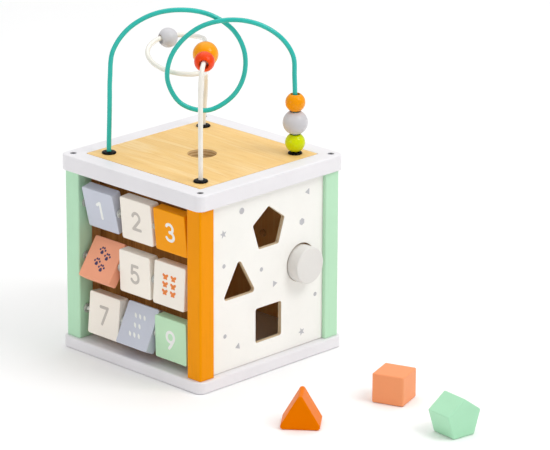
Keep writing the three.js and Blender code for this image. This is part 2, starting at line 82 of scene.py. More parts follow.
def circle(radius, cx=0.0, cy=0.0, count=64):
    angles = [math.tau * i / count for i in range(count)]
    return [(cx + radius * math.cos(a), cy + radius * math.sin(a)) for a in angles]


def rounded_polygon(sides, radius, corner, first=QUARTER, cx=0.0, cy=0.0):
    """A regular polygon whose sharp corners would be at radius."""
    half = math.pi / sides
    reach = radius - corner / math.cos(half)
    points = []
    for i in range(sides):
        a = first + 2 * half * i
        points += arc(cx + reach * math.cos(a), cy + reach * math.sin(a), corner, a - half, a + half)
    return points


def rounded_box(u0, u1, v0, v1, corner):
    u0, u1, v0, v1 = u0 + corner, u1 - corner, v0 + corner, v1 - corner
    points = []
    for i, (u, v) in enumerate(((u1, v1), (u0, v1), (u0, v0), (u1, v0))):
        points += arc(u, v, corner, QUARTER * i, QUARTER * (i + 1))
    return points


def star(tips, outer, inner):
    points = []
    for i in range(2 * tips):
        a = QUARTER + math.pi * i / tips
        r = inner if i % 2 else outer
        points.append((r * math.cos(a), r * math.sin(a)))
    return points


def moved(points, du, dv, turn=0.0):
    c, s = math.cos(turn), math.sin(turn)
    return [(du + c * u - s * v, dv + s * u + c * v) for u, v in points]


def offset(points, distance):
    """The closed outline moved outwards by distance, corner to corner."""
    made = []
    count = len(points)
    for i, (u, v) in enumerate(points):
        pu, pv = points[i - 1]
        nu, nv = points[(i + 1) % count]
        a = Vector((v - pv, pu - u)).normalized()
        b = Vector((nv - v, u - nu)).normalized()
        across = (a + b).normalized()
        reach = distance / max(0.3, across.dot(a))
        made.append((u + across.x * reach, v + across.y * reach))
    return made


def ribbon(path, width):
    """The outline of an open stroke with round ends."""
    half = width / 2
    left, right = [], []
    last = len(path) - 1
    for i, (u, v) in enumerate(path):
        before = path[max(0, i - 1)]
        after = path[min(last, i + 1)]
        along = Vector((after[0] - before[0], after[1] - before[1])).normalized()
        left.append((u - along.y * half, v + along.x * half))
        right.append((u + along.y * half, v - along.x * half))
    heading_end = math.atan2(path[-1][1] - path[-2][1], path[-1][0] - path[-2][0])
    heading_start = math.atan2(path[1][1] - path[0][1], path[1][0] - path[0][0])
    cap_end = arc(*path[-1], half, heading_end - QUARTER, heading_end + QUARTER)[1:-1]
    cap_start = arc(*path[0], half, heading_start + QUARTER, heading_start + 3 * QUARTER)[1:-1]
    return right + cap_end + left[::-1] + cap_start


# ---- Mesh builders ----
def add_object(name, data):
    made = bpy.data.objects.new(name, data)
    bpy.context.scene.collection.objects.link(made)
    return made


def link_mesh(name, mesh, smooth_angle=40):
    mesh.validate()
    mesh.update()
    mesh.shade_smooth()
    mesh.set_sharp_from_angle(angle=math.radians(smooth_angle))
    return add_object(name, mesh)


def mesh_from(name, vertices, faces):
    mesh = bpy.data.meshes.new(name)
    mesh.from_pydata([tuple(v) for v in vertices], [], faces)
    work = bmesh.new()
    work.from_mesh(mesh)
    bmesh.ops.remove_doubles(work, verts=work.verts, dist=1e-7)
    bmesh.ops.recalc_face_normals(work, faces=work.faces)
    work.to_mesh(mesh)
    work.free()
    return mesh


def flat_shading(piece):
    """Large flat faces keep their own normal next to a narrow fillet."""
    weighted = piece.modifiers.new("flat_faces", "WEIGHTED_NORMAL")
    weighted.keep_sharp = True
    weighted.weight = 60
    return piece


def bridge(faces, low, high, count):
    """Quads between two rings of count vertices that start at indices low and high."""
    for i in range(count):
        j = (i + 1) % count
        faces.append((low + i, low + j, high + j, high + i))


def plate_mesh(name, outer, holes=(), low=0.0, high=MM, fillet=0.0, to_world=None, steps=4):
    """A board of the outline outer with holes, from low to high, its edges rounded by fillet."""
    matrix = to_world or Matrix.Identity(4)
    stations = [(0.0, low), (0.0, high)]
    if fillet > 0:
        angles = [QUARTER * i / steps for i in range(steps + 1)]
        lower = [(fillet * (1 - math.sin(a)), low + fillet * (1 - math.cos(a))) for a in angles]
        stations = lower + [(inset, low + high - z) for inset, z in reversed(lower)]
    vertices, faces, ends = [], [], {0: [], len(stations) - 1: []}
    for order, outline in enumerate([outer, *holes]):
        side = -1 if order == 0 else 1
        first = len(vertices)
        count = len(outline)
        for level, (inset, z) in enumerate(stations):
            ring = offset(outline, side * inset) if inset else outline
            if level in ends:
                ends[level].append((len(vertices), ring))
            vertices += [matrix @ Vector((u, v, z)) for u, v in ring]
        for level in range(len(stations) - 1):
            bridge(faces, first + level * count, first + (level + 1) * count, count)
    for loops in ends.values():
        flat = [index for start, ring in loops for index in range(start, start + len(ring))]
        corners = tessellate_polygon([[Vector((u, v, 0)) for u, v in ring] for _, ring in loops])
        faces += [tuple(flat[i] for i in triangle) for triangle in corners]
    return mesh_from(name, vertices, faces)


def plate(name, outer, holes=(), low=0.0, high=MM, fillet=0.0, to_world=None, steps=4):
    mesh = plate_mesh(name, outer, holes, low, high, fillet, to_world, steps)
    return flat_shading(link_mesh(name, mesh))


def frame_ring(name, stations):
    """A square ring swept round the middle: stations are (half width, corner radius, height)."""
    vertices, faces = [], []
    per_corner = 10
    count = 4 * (per_corner + 1)
    for half, corner, z in stations:
        reach = half - corner
        for quarter, (su, sv) in enumerate(((1, 1), (-1, 1), (-1, -1), (1, -1))):
            for i in range(per_corner + 1):
                a = QUARTER * (quarter + i / per_corner)
                vertices.append((su * reach + corner * math.cos(a), sv * reach + corner * math.sin(a), z))
    for level in range(len(stations)):
        bridge(faces, level * count, (level + 1) % len(stations) * count, count)
    return flat_shading(link_mesh(name, mesh_from(name, vertices, faces)))


def turned(name, profile, place, segments=56, closed=False):
    """A turned body: profile is (radius, height) pairs about place's own Z axis."""
    vertices, faces, rings = [], [], []
    for radius, z in profile:
        if radius < 1e-9:
            rings.append([len(vertices)])
            vertices.append(place @ Vector((0, 0, z)))
            continue
        rings.append(list(range(len(vertices), len(vertices) + segments)))
        for i in range(segments):
            a = math.tau * i / segments
            vertices.append(place @ Vector((radius * math.cos(a), radius * math.sin(a), z)))
    pairs = list(zip(rings, rings[1:]))
    if closed:
        pairs.append((rings[-1], rings[0]))
    for low, high in pairs:
        for i in range(segments):
            j = (i + 1) % segments
            corners = (low[i % len(low)], low[j % len(low)], high[j % len(high)], high[i % len(high)])
            face = tuple(dict.fromkeys(corners))
            if len(face) > 2:
                faces.append(face)
    return link_mesh(name, mesh_from(name, vertices, faces), 50)


def carve(piece, tools):
    """Cuts closed tool meshes out of a piece and drops the tools."""
    for tool in tools:
        knife = piece.modifiers.new("cut", "BOOLEAN")
        knife.operation = "DIFFERENCE"
        knife.solver = "EXACT"
        knife.object = tool
    names = [m.name for m in piece.modifiers if m.type == "WEIGHTED_NORMAL"]
    for name in names:
        piece.modifiers.remove(piece.modifiers[name])
    bpy.context.view_layer.update()
    solid = piece.evaluated_get(bpy.context.evaluated_depsgraph_get())
    mesh = bpy.data.meshes.new_from_object(solid)
    piece.modifiers.clear()
    piece.data = mesh
    for tool in tools:
        bpy.data.objects.remove(tool)
    mesh.shade_smooth()
    mesh.set_sharp_from_angle(angle=math.radians(40))
    return flat_shading(piece) if names else piece


def rounded_profile(inner, outer, low, high, edge, steps=4):
    """The cross-section of a ring with rounded rims, as a closed profile."""
    profile = []
    r0, r1, z0, z1 = inner + edge, outer - edge, low + edge, high - edge
    for r, z, start in ((r0, z0, 2), (r1, z0, 3), (r1, z1, 0), (r0, z1, 1)):
        for i in range(steps + 1):
            a = QUARTER * (start + i / steps)
            profile.append((r + edge * math.cos(a), z + edge * math.sin(a)))
    return profile


def dome(radius, across, base, rise):
    """The part of a profile that curves up by rise and in by across, from (radius, base)."""
    angles = [QUARTER * i / 7 for i in range(1, 8)]
    return [(radius - across * (1 - math.cos(a)), base + rise * math.sin(a)) for a in angles]


def along_x(at):
    """Turns a turned body's axis from Z to X."""
    return Matrix.Translation(at) @ Matrix.Rotation(QUARTER, 4, "Y")


def basis(u, v, at):
    """Places 2-D outlines: u and v are the outline's axes, and its thickness runs along u x v."""
    out = u.cross(v)
    columns = Matrix((u, v, out)).transposed()
    return Matrix.Translation(at) @ columns.to_4x4()


# ---- Materials ----
MATERIALS = {}


def linear(*colour):
    """An sRGB colour, 0 to 255, as the linear colour that shaders use."""
    parts = [c / 255 for c in colour]
    return tuple(p / 12.92 if p <= 0.04045 else ((p + 0.055) / 1.055) ** 2.4 for p in parts) + (1.0,)


class Recipe:
    """One Principled material under construction."""

    def __init__(self, name, **constants):
        self.material = MATERIALS[name] = bpy.data.materials.new(name)
        self.material.use_nodes = True
        self.tree = self.material.node_tree
        self.shader = self.tree.nodes["Principled BSDF"]
        self.place = self.tree.nodes.new("ShaderNodeTexCoord").outputs["Object"]
        for socket, value in constants.items():
            self.shader.inputs[socket.replace("_", " ")].default_value = value

    def node(self, kind, links=(), values=(), **settings):
        made = self.tree.nodes.new(kind)
        for key, value in settings.items():
            setattr(made, key, value)
        for key, value in dict(values).items():
            made.inputs[key].default_value = value
        for key, source in dict(links).items():
            self.tree.links.new(source, made.inputs[key])
        return made

    def noise(self, scale, detail=3.0, roughness=0.5, distortion=0.0):
        """Scale is one number, or three where the noise is drawn out along a grain."""
        place = self.place
        if isinstance(scale, tuple):
            place = self.node("ShaderNodeMapping", {"Vector": place}, {"Scale": scale}).outputs["Vector"]
            scale = 1.0
        values = {"Scale": scale, "Detail": detail, "Roughness": roughness, "Distortion": distortion}
        return self.node("ShaderNodeTexNoise", {"Vector": place}, values).outputs["Fac"]

    def remap(self, source, to_low, to_high, low=0.3, high=0.7):
        """Most of a noise lies between 0.3 and 0.7: that part of it, or low to high, is stretched."""
        values = {"From Min": low, "From Max": high, "To Min": to_low, "To Max": to_high}
        return self.node("ShaderNodeMapRange", {"Value": source}, values).outputs["Result"]

    def clouded(self, source, colour, darkest, lightest):
        return self.mix(self.remap(source, 0, 1), shade(colour, darkest), shade(colour, lightest))

    def streaked(self, body, source, low, high, most, colour):
        return self.mix(self.remap(source, 0, most, low, high), body, colour)

    def ramp(self, source, stops):
        node = self.node("ShaderNodeValToRGB", {"Fac": source})
        bands = node.color_ramp.elements
        while len(bands) < len(stops):
            bands.new(0.5)
        for band, (position, colour) in zip(bands, stops):
            band.position = position
            band.color = colour
        return node.outputs["Color"]

    def mix(self, fac, a, b, blend="MIX"):
        node = self.tree.nodes.new("ShaderNodeMix")
        node.data_type = "RGBA"
        node.blend_type = blend
        for socket, value in ((node.inputs[0], fac), (node.inputs[6], a), (node.inputs[7], b)):
            if hasattr(value, "links"):
                self.tree.links.new(value, socket)
            else:
                socket.default_value = value
        return node.outputs[2]

    def bump(self, height, distance, strength=1.0, under=None):
        links = {"Height": height}
        if under:
            links["Normal"] = under
        values = {"Distance": distance, "Strength": strength}
        return self.node("ShaderNodeBump", links, values).outputs["Normal"]

    def finish(self, colour, roughness, normal):
        for socket, source in (("Base Color", colour), ("Roughness", roughness), ("Normal", normal)):
            self.tree.links.new(source, self.shader.inputs[socket])


def shade(colour, factor):
    return tuple(min(1.0, c * factor) for c in colour[:3]) + (1.0,)


GRAIN = {"x": (14, 260, 260), "y": (260, 14, 260), "z": (260, 260, 14)}


def painted_wood(name, colour, grain, strength, sheen):
    """Sprayed paint on close-grained wood: faint grain shows through as relief and as tone."""
    recipe = Recipe(name, Specular_IOR_Level=sheen, Specular_Tint=colour)
    tone = recipe.noise(18, 3.0)
    along = recipe.noise(GRAIN[grain], 4.0, 0.6)
    peel = recipe.noise(2200, 1.5)
    specks = recipe.noise(900, 2.0, 0.7)
    body = recipe.clouded(tone, colour, 0.965, 1.02)
    body = recipe.streaked(body, along, 0.55, 0.78, 0.16 * strength, shade(colour, 0.84))
    body = recipe.streaked(body, specks, 0.72, 0.8, 0.10, shade(colour, 0.80))
    rough = recipe.remap(tone, 0.32, 0.44)
    relief = recipe.bump(along, 0.05 * MM, 0.55 * strength)
    relief = recipe.bump(peel, 0.02 * MM, 0.5, relief)
    recipe.finish(body, rough, relief)


def lacquered_bead(name, colour):
    """Dipped gloss lacquer on a turned wooden bead."""
    gloss = {"Coat_Weight": 0.28, "Coat_Roughness": 0.05, "Specular_IOR_Level": 0.28}
    recipe = Recipe(name, Specular_Tint=colour, **gloss)
    tone = recipe.noise(60, 2.0)
    rings = recipe.noise((90, 90, 520), 3.0, 0.5)
    body = recipe.clouded(tone, colour, 0.93, 1.03)
    body = recipe.streaked(body, rings, 0.58, 0.8, 0.14, shade(colour, 0.8))
    rough = recipe.remap(tone, 0.24, 0.34)
    relief = recipe.bump(rings, 0.05 * MM, 0.35)
    relief = recipe.bump(recipe.noise(700, 2.0), 0.02 * MM, 0.4, relief)
    recipe.finish(body, rough, relief)


def coated_wire(name, colour):
    """Thick smooth coating on bent steel wire."""
    recipe = Recipe(name, Coat_Weight=0.6, Coat_Roughness=0.05, Specular_IOR_Level=0.3, Specular_Tint=colour)
    tone = recipe.noise(45, 2.0)
    ripple = recipe.noise(260, 2.0, 0.45)
    body = recipe.clouded(tone, colour, 0.95, 1.04)
    rough = recipe.remap(ripple, 0.16, 0.26)
    recipe.finish(body, rough, recipe.bump(ripple, 0.02 * MM, 0.3))


def clear_plywood(name):
    """Birch face veneer: long straight fibres, faint darker growth bands, fine pores."""
    recipe = Recipe(name, Coat_Weight=0.10, Coat_Roughness=0.3, Specular_IOR_Level=0.4)
    light, mid, dark = linear(248, 214, 152), linear(242, 200, 124), linear(214, 158, 86)
    wander = recipe.noise((5, 34, 34), 3.0, 0.5, 0.6)
    fibres = recipe.noise((26, 620, 620), 6.0, 0.68)
    pores = recipe.noise((150, 2600, 2600), 2.0, 0.5)
    body = recipe.ramp(wander, [(0.30, light), (0.52, mid), (0.62, light), (0.78, mid)])
    body = recipe.streaked(body, fibres, 0.50, 0.72, 0.50, dark)
    body = recipe.streaked(body, pores, 0.66, 0.76, 0.40, shade(dark, 0.7))
    rough = recipe.remap(fibres, 0.42, 0.56)
    relief = recipe.bump(fibres, 0.06 * MM, 0.5)
    relief = recipe.bump(pores, 0.05 * MM, 0.4, relief)
    recipe.finish(body, rough, relief)


def ply_edge(name, pale, dark, across, scale):
    """The sawn edge of plywood: wide pale veneers with thin dark ones between them."""
    recipe = Recipe(name, Specular_IOR_Level=0.3)
    values = {"Scale": scale, "Distortion": 0.5, "Detail": 2.0, "Detail Scale": 4.0}
    wave = recipe.node("ShaderNodeTexWave", {"Vector": recipe.place}, values, bands_direction=across)
    fibres = recipe.noise((500, 500, 500), 4.0, 0.6)
    body = recipe.ramp(wave.outputs["Fac"], [(0.66, pale), (0.9, dark)])
    body = recipe.streaked(body, fibres, 0.45, 0.7, 0.25, dark)
    recipe.finish(body, recipe.remap(fibres, 0.6, 0.8), recipe.bump(fibres, 0.1 * MM, 0.5))


def bare_wall(name, pale, dark):
    """Unpainted thin plywood, its grain upright."""
    recipe = Recipe(name, Specular_IOR_Level=0.2)
    fibres = recipe.noise((420, 420, 16), 5.0, 0.65)
    body = recipe.ramp(fibres, [(0.3, pale), (0.7, dark)])
    recipe.finish(body, recipe.remap(fibres, 0.6, 0.8), recipe.bump(fibres, 0.08 * MM, 0.5))


def moulded_plastic(name, colour, rough, **constants):
    recipe = Recipe(name, **constants)
    texture = recipe.noise(1400, 2.0)
    tone = recipe.noise(160, 2.0)
    body = recipe.clouded(tone, colour, 0.9, 1.08)
    wear = recipe.remap(texture, rough - 0.05, rough + 0.07)
    recipe.finish(body, wear, recipe.bump(texture, 0.02 * MM, 0.4))


def brushed_metal(name, colour, rough):
    recipe = Recipe(name, Metallic=0.9)
    brushed = recipe.noise((2600, 300, 2600), 3.0, 0.6)
    body = recipe.clouded(brushed, colour, 0.8, 1.3)
    wear = recipe.remap(brushed, rough - 0.06, rough + 0.12)
    recipe.finish(body, wear, recipe.bump(brushed, 0.02 * MM, 0.5))


def ink(name, colour):
    """Screen-printed ink: slightly uneven cover and a dry sheen."""
    recipe = Recipe(name, Specular_IOR_Level=0.35)
    cover = recipe.noise(1500, 2.0, 0.6)
    tone = recipe.noise(120, 2.0)
    body = recipe.clouded(tone, colour, 0.95, 1.03)
    body = recipe.streaked(body, cover, 0.62, 0.8, 0.2, shade(colour, 1.15))
    recipe.finish(body, recipe.remap(cover, 0.5, 0.62), recipe.bump(cover, 0.02 * MM, 0.4))


COLOURS = {
    "white_paint": (235, 233, 236),
    "mint_paint": (190, 231, 198),
    "orange_paint": (243, 152, 4),
    "panel_paint": (247, 246, 241),
    "tile_blue": (204, 208, 220),
    "tile_white": (250, 243, 232),
    "tile_orange": (249, 160, 14),
    "tile_coral": (250, 172, 138),
    "tile_mint": (194, 230, 194),
    "block_orange": (234, 120, 0),
    "block_coral": (246, 160, 112),
    "block_mint": (176, 228, 192),
    "block_grey": (225, 223, 219),
}
BEAD_COLOURS = {
    "bead_lime": (212, 224, 2),
    "bead_grey": (204, 202, 205),
    "bead_orange": (249, 157, 2),
    "bead_amber": (247, 160, 6),
    "bead_red": (240, 68, 12),
}
INKS = {
    "ink_grey": (190, 189, 193),
    "ink_digit_grey": (198, 190, 182),
    "ink_white": (240, 242, 238),
    "ink_plum": (72, 60, 98),
    "ink_coral": (236, 134, 58),
    "ink_teal": (72, 184, 172),
    "ink_slate": (112, 116, 128),
}
UPRIGHT_GRAIN = {"mint_paint": 2.0, "orange_paint": 4.2}  # how much the grain of the posts shows
MATT_PAINTS = ("block_orange", "block_coral", "mint_paint")


def make_materials():
    for slot, colour in COLOURS.items():
        grain = "z" if slot in UPRIGHT_GRAIN else "x"
        sheen = 0.08 if slot in MATT_PAINTS else 0.24
        painted_wood(slot, linear(*colour), grain, UPRIGHT_GRAIN.get(slot, 1.0), sheen)
    for slot, colour in BEAD_COLOURS.items():
        lacquered_bead(slot, linear(*colour))
    for name, colour in INKS.items():
        ink(name, linear(*colour))
    coated_wire("teal_paint", linear(44, 186, 174))
    coated_wire("white_wire_paint", linear(242, 238, 228))
    clear_plywood("plywood")
    ply_edge("ply_edge", linear(240, 206, 152), linear(204, 158, 104), "Z", 100.0)
    ply_edge("panel_edge", linear(240, 222, 190), linear(206, 172, 124), "X", 160.0)
    bare_wall("panel_inside", linear(255, 216, 152), linear(248, 194, 124))
    bare_wall("wall_wood", linear(212, 152, 80), linear(172, 112, 52))
    moulded_plastic("black_plastic", linear(12, 9, 8), 0.13, Specular_IOR_Level=0.08)
    moulded_plastic("spacer_plastic", linear(240, 242, 236), 0.3, Transmission_Weight=0.6, IOR=1.45)
    moulded_plastic("rod_paint", linear(236, 236, 234), 0.3, Coat_Weight=0.3)
    moulded_plastic("pin_lacquer", linear(232, 184, 124), 0.35)
    brushed_metal("dark_steel", linear(150, 150, 155), 0.35)


def give(piece, slot, body, node=None, material=None):
    """Every piece gets its material, that of its slot unless material names another, and its body; the CAD
    node that it stands for is hidden.
    """
    if not piece.data.materials:
        piece.data.materials.append(MATERIALS[material or slot])
    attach(piece, body)
    if node:
        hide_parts(node)


# ---- Reading the frame ----
JOINTS = {joint["name"]: joint for joint in frame["joints"]}


def span(node):
    """The two far corners of a CAD node's box, and its middle."""
    low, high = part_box(node)
    return low, high, (low + high) / 2


def middle(node):
    return span(node)[2]


def size_of(node):
    low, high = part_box(node)
    return high - low


def face_normal(node, towards, upright=False):
    """The direction of the CAD node's biggest flat side that faces roughly towards."""
    sums = {}
    for polygon in frame["nodes"][node].data.polygons:
        normal = polygon.normal
        if normal.dot(towards) > 0.5 and (abs(normal.z) < 0.1 or not upright):
            key = tuple(round(c, 2) for c in normal)
            sums[key] = sums.get(key, 0.0) + polygon.area
    return Vector(max(sums, key=sums.get)).normalized()


# ---- Base plate, top frame, posts and screws ----
PLATE_CORNER = 8.5 * MM
LID_SEAT_EDGE = 0.8 * MM
FRAME_OPENING_HALF = 74 * MM


def make_base():
    low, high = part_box("base_plate")
    outline = rounded_box(low.x, high.x, low.y, high.y, PLATE_CORNER)
    piece = plate("base_plate_board", outline, (), low.z, high.z, FILLET_BOARD, steps=5)
    give(piece, "white_paint", "root", "base_plate")


def quarter_round(half, corner, z, edge, start, outward):
    """Stations of a rounded edge: start is the angle, in degrees, at which the quarter begins."""
    stations = []
    for i in range(6):
        a = math.radians(start + 18 * i)
        shift = edge * math.cos(a) * outward
        stations.append((half + shift, max(corner + shift, 0.2 * MM), z + edge * math.sin(a)))
    return stations


def make_top_frame():
    low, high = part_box("top_frame")
    lid_low, lid_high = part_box("lid_panel")
    half = high.x
    seat = lid_high.x + 0.4 * MM
    floor = lid_low.z - 0.3 * MM
    edge = FILLET_BOARD
    small = LID_SEAT_EDGE
    stations = quarter_round(half - edge, PLATE_CORNER - edge, low.z + edge, edge, -90, 1)
    stations += quarter_round(half - edge, PLATE_CORNER - edge, high.z - edge, edge, 0, 1)
    for a in [math.radians(18 * i) for i in range(6)]:
        stations.append((seat + small * (1 - math.sin(a)), 2 * MM, high.z - small * (1 - math.cos(a))))
    stations.append((seat, 2 * MM, floor))
    stations += [(FRAME_OPENING_HALF, 4 * MM, z) for z in (floor, low.z)]
    ring = frame_ring("top_frame_board", stations)
    tools = []
    for i in range(1, 5):
        at = middle(f"frame_screw_{i}")
        place = Matrix.Translation((at.x, at.y, 0))
        seat_radius = size_of(f"frame_screw_{i}").x / 2 + 0.35 * MM
        bottom, top = high.z - 3.2 * MM, high.z + MM
        profile = [(0, bottom), (seat_radius - 1 * MM, bottom), (seat_radius, high.z - 1.4 * MM)]
        profile += [(seat_radius + 0.2 * MM, top), (0, top)]
        tools.append(turned(f"seat_{i}", profile, place, 40))
    carve(ring, tools)
    give(ring, "white_paint", "root", "top_frame")


def make_frame_screws():
    for i in range(1, 5):
        low, high, at = span(f"frame_screw_{i}")
        head = (high.x - low.x) / 2
        shank = head * 0.56
        top = high.z - at.z
        rim = [(0.25, 0.75), (0, 0.45), (0.1, 0.15), (0.45, 0)]  # in from the head's side, and down
        profile = [(0, low.z - at.z), (shank, low.z - at.z + 2 * MM), (shank, top - 2.4 * MM)]
        profile += [(head - inwards * MM, top - down * MM) for inwards, down in rim] + [(0, top)]
        screw = turned(f"frame_screw_{i}_steel", profile, Matrix.Translation(at), 40)
        hexagon = rounded_polygon(6, 1.75 * MM, 0.15 * MM, math.radians(20 * i))
        lift = Matrix.Translation((at.x, at.y, high.z))
        socket = link_mesh(f"socket_{i}", plate_mesh(f"socket_{i}", hexagon, (), -1.6 * MM, MM, 0, lift))
        carve(screw, [socket])
        give(screw, "dark_steel", "root", f"frame_screw_{i}")


def make_posts():
    """Square posts with a groove along their whole height wherever a panel enters them."""
    panel_low, panel_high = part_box("sorter_panel")
    for node in ("post_front_right", "post_front_left", "post_back_right", "post_back_left"):
        low, high, at = span(node)
        sx = math.copysign(1, at.x)
        sy = math.copysign(1, at.y)
        half = (high.x - low.x) / 2
        near = panel_low.x - 0.3 * MM - abs(at.x)
        far = panel_high.x + 0.3 * MM - abs(at.x)
        depth = panel_high.y - (abs(at.x) - half) + 0.3 * MM
        outline = grooved_square(half, near, far, depth, sy > 0)
        outline = [(at.x + sx * u, at.y + sy * v) for u, v in outline]
        if sx * sy < 0:
            outline.reverse()
        colour = "orange_paint" if sx * sy < 0 else "mint_paint"
        give(plate(node + "_wood", outline, (), low.z, high.z, 0), colour, "root", node)


def grooved_square(half, near, far, depth, both):
    """A square with rounded corners and a groove in its inner side, or in both inner sides."""
    r = POST_CORNER
    reach = half - r
    points = arc(reach, reach, r, 0, QUARTER) + arc(-reach, reach, r, QUARTER, 2 * QUARTER)
    if both:
        points += [(-half, far), (-half + depth, far), (-half + depth, near), (-half, near)]
    points += arc(-reach, -reach, r, 2 * QUARTER, 3 * QUARTER)
    points += [(near, -half), (near, -half + depth), (far, -half + depth), (far, -half)]
    return points + arc(reach, -reach, r, 3 * QUARTER, 4 * QUARTER)


# ---- Panels and their prints ----
def print_on(name, outlines, face, material, body="root", slot="panel_paint"):
    """Flat ink shapes on a face; each outline is (outer, holes)."""
    vertices, faces = [], []
    for order, (outer, holes) in enumerate(outlines):
        top = PRINT_THICK - PRINT_SINK - PRINT_STEP * (order % 4)
        mesh = plate_mesh("ink", outer, holes, -PRINT_SINK, top, 0, face)
        first = len(vertices)
        vertices += [v.co.copy() for v in mesh.vertices]
        faces += [tuple(first + i for i in p.vertices) for p in mesh.polygons]
        bpy.data.meshes.remove(mesh)
    mesh = bpy.data.meshes.new(name)
    mesh.from_pydata([tuple(v) for v in vertices], [], faces)
    give(link_mesh(name, mesh), slot, body, material=material)


def mark(kind, u, v, size, turn=0):
    """One small printed mark, size across and turned by degrees."""
    half = size * MM / 2
    shapes = {
        "circle": circle(half, count=28),
        "triangle": rounded_polygon(3, half * 1.25, 0.25 * MM),
        "hexagon": rounded_polygon(6, half * 1.05, 0.2 * MM),
        "star": star(5, half * 1.08, half * 0.46),
    }
    return moved(shapes[kind], u * MM, v * MM, math.radians(turn)), ()


# Marks on a panel: shape, across and up from the panel's middle and size in millimetres, turn in degrees.
SORTER_MARKS = [
    ("circle", -36, 73.4, 6.5), ("hexagon", 47.6, 43, 7.2), ("triangle", 55.8, 72.3, 6.4, -30),
    ("star", -61, 55.3, 8.4, 10), ("circle", -60.2, 22.5, 4.4), ("circle", -8.8, 6.8, 4.4),
    ("triangle", 9.4, -12.3, 6.4, -90), ("circle", 67, -37.6, 4.4), ("star", 48, -72.6, 8.2, 20),
    ("circle", -58.9, -50.1, 4.4), ("triangle", -41, -65, 6.4, -20),
]
PLAIN_MARKS = [
    ("star", -52, 58, 7.8), ("circle", -18, 66, 6.5), ("triangle", 22, 52, 6.4), ("hexagon", 58, 62, 6.5),
    ("circle", 44, 20, 4.4), ("triangle", -60, 18, 6.4), ("star", 6, 12, 7.8), ("circle", -28, -10, 4.4),
    ("hexagon", 62, -18, 6.5), ("star", 30, -38, 7.6), ("circle", -2, -46, 4.4), ("triangle", -54, -48, 6.4),
    ("circle", 60, -62, 6.5), ("hexagon", -24, -70, 6.5), ("triangle", 14, -72, 6.4),
]

# Holes of the sorting face: sides, reach of the corners, corner radius, y and z of the middle.
HOLES = (
    (5, 23 * MM, 2 * MM, 1.4 * MM, 146 * MM),
    (3, 26 * MM, 3 * MM, -39 * MM, 98.2 * MM),
    (4, 25.2 * MM, 2.5 * MM, 1.4 * MM, 48.5 * MM),
)
PIN_HOLE_RADIUS = 2.4 * MM  # in the clock's face
ROUND_HOLE_GAP = 0.9 * MM
ROUND_HOLE_RISE = 0.7 * MM  # the middle of the hole above the middle of the block that rests in it


def hole_outlines(at):
    """The holes of the sorting face about its middle, at; the round one follows its block."""
    made = []
    for sides, radius, corner, y, z in HOLES:
        first = QUARTER / 2 if sides == 4 else QUARTER
        made.append(rounded_polygon(sides, radius, corner, first, y - at.y, z - at.z))
    block = middle("round_block")
    radius = size_of("round_block").y / 2 + ROUND_HOLE_GAP
    made.append(circle(radius, block.y - at.y, block.z + ROUND_HOLE_RISE - at.z, 96))
    return made


def sided(mesh, names, out, face_from, back_from):
    """Links a board whose face, edges and back have the three named materials.

    A polygon belongs to the face where its normal has at least face_from of out in it, and to the
    back where it has less than back_from.
    """
    for name in names:
        mesh.materials.append(MATERIALS[name])
    for polygon in mesh.polygons:
        facing = polygon.normal.dot(out)
        if facing < face_from:
            polygon.material_index = 2 if facing < back_from else 1
    return flat_shading(link_mesh(mesh.name, mesh))


def panel_board(node, u, holes=()):
    """A panel whose outer face, the only painted one, is seen with u to the right."""
    at = middle(node)
    size = size_of(node)
    out = u.cross(Z)
    thick = abs(size.dot(out))
    width = abs(size.dot(u))
    outline = rounded_box(-width / 2, width / 2, -size.z / 2, size.z / 2, 1 * MM)
    place = basis(u, Z, at)
    mesh = plate_mesh(node + "_board", outline, holes, -thick / 2, thick / 2, FILLET_PANEL, place)
    piece = sided(mesh, ("panel_paint", "panel_edge", "panel_inside"), out, 0.2, -0.7)
    give(piece, "panel_paint", "root", node)
    return basis(u, Z, at + out * (thick / 2))


def make_panels():
    at = middle("sorter_panel")
    face = panel_board("sorter_panel", Y, hole_outlines(at))
    print_on("sorter_marks", [mark(*values) for values in SORTER_MARKS], face, "ink_grey")
    face = panel_board("left_panel", -Y)
    print_on("left_marks", [mark(*values) for values in PLAIN_MARKS], face, "ink_grey")
    face = panel_board("clock_panel", -X, [circle(PIN_HOLE_RADIUS, count=32)])
    make_dial(face)
    low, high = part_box("inner_wall")
    wall = rounded_box(low.x, high.x, low.z, high.z, 0.5 * MM)
    place = basis(X, Z, Vector((0, low.y, 0)))
    mesh = plate_mesh("inner_wall_board", wall, (), low.y - high.y, 0, 0.2 * MM, place)
    piece = sided(mesh, ("wall_wood", "wall_wood", "panel_inside"), -Y, 0.2, -0.7)
    give(piece, "wall_wood", "root", "inner_wall")


# ---- Digits, drawn as strokes in a box one unit high ----
def bowl(cx, cy, rx, ry, start, end):
    """An elliptical stroke, in degrees."""
    count = max(4, round(abs(end - start) / 8))
    angles = [math.radians(start + (end - start) * i / count) for i in range(count + 1)]
    return [(cx + rx * math.cos(a), cy + ry * math.sin(a)) for a in angles]


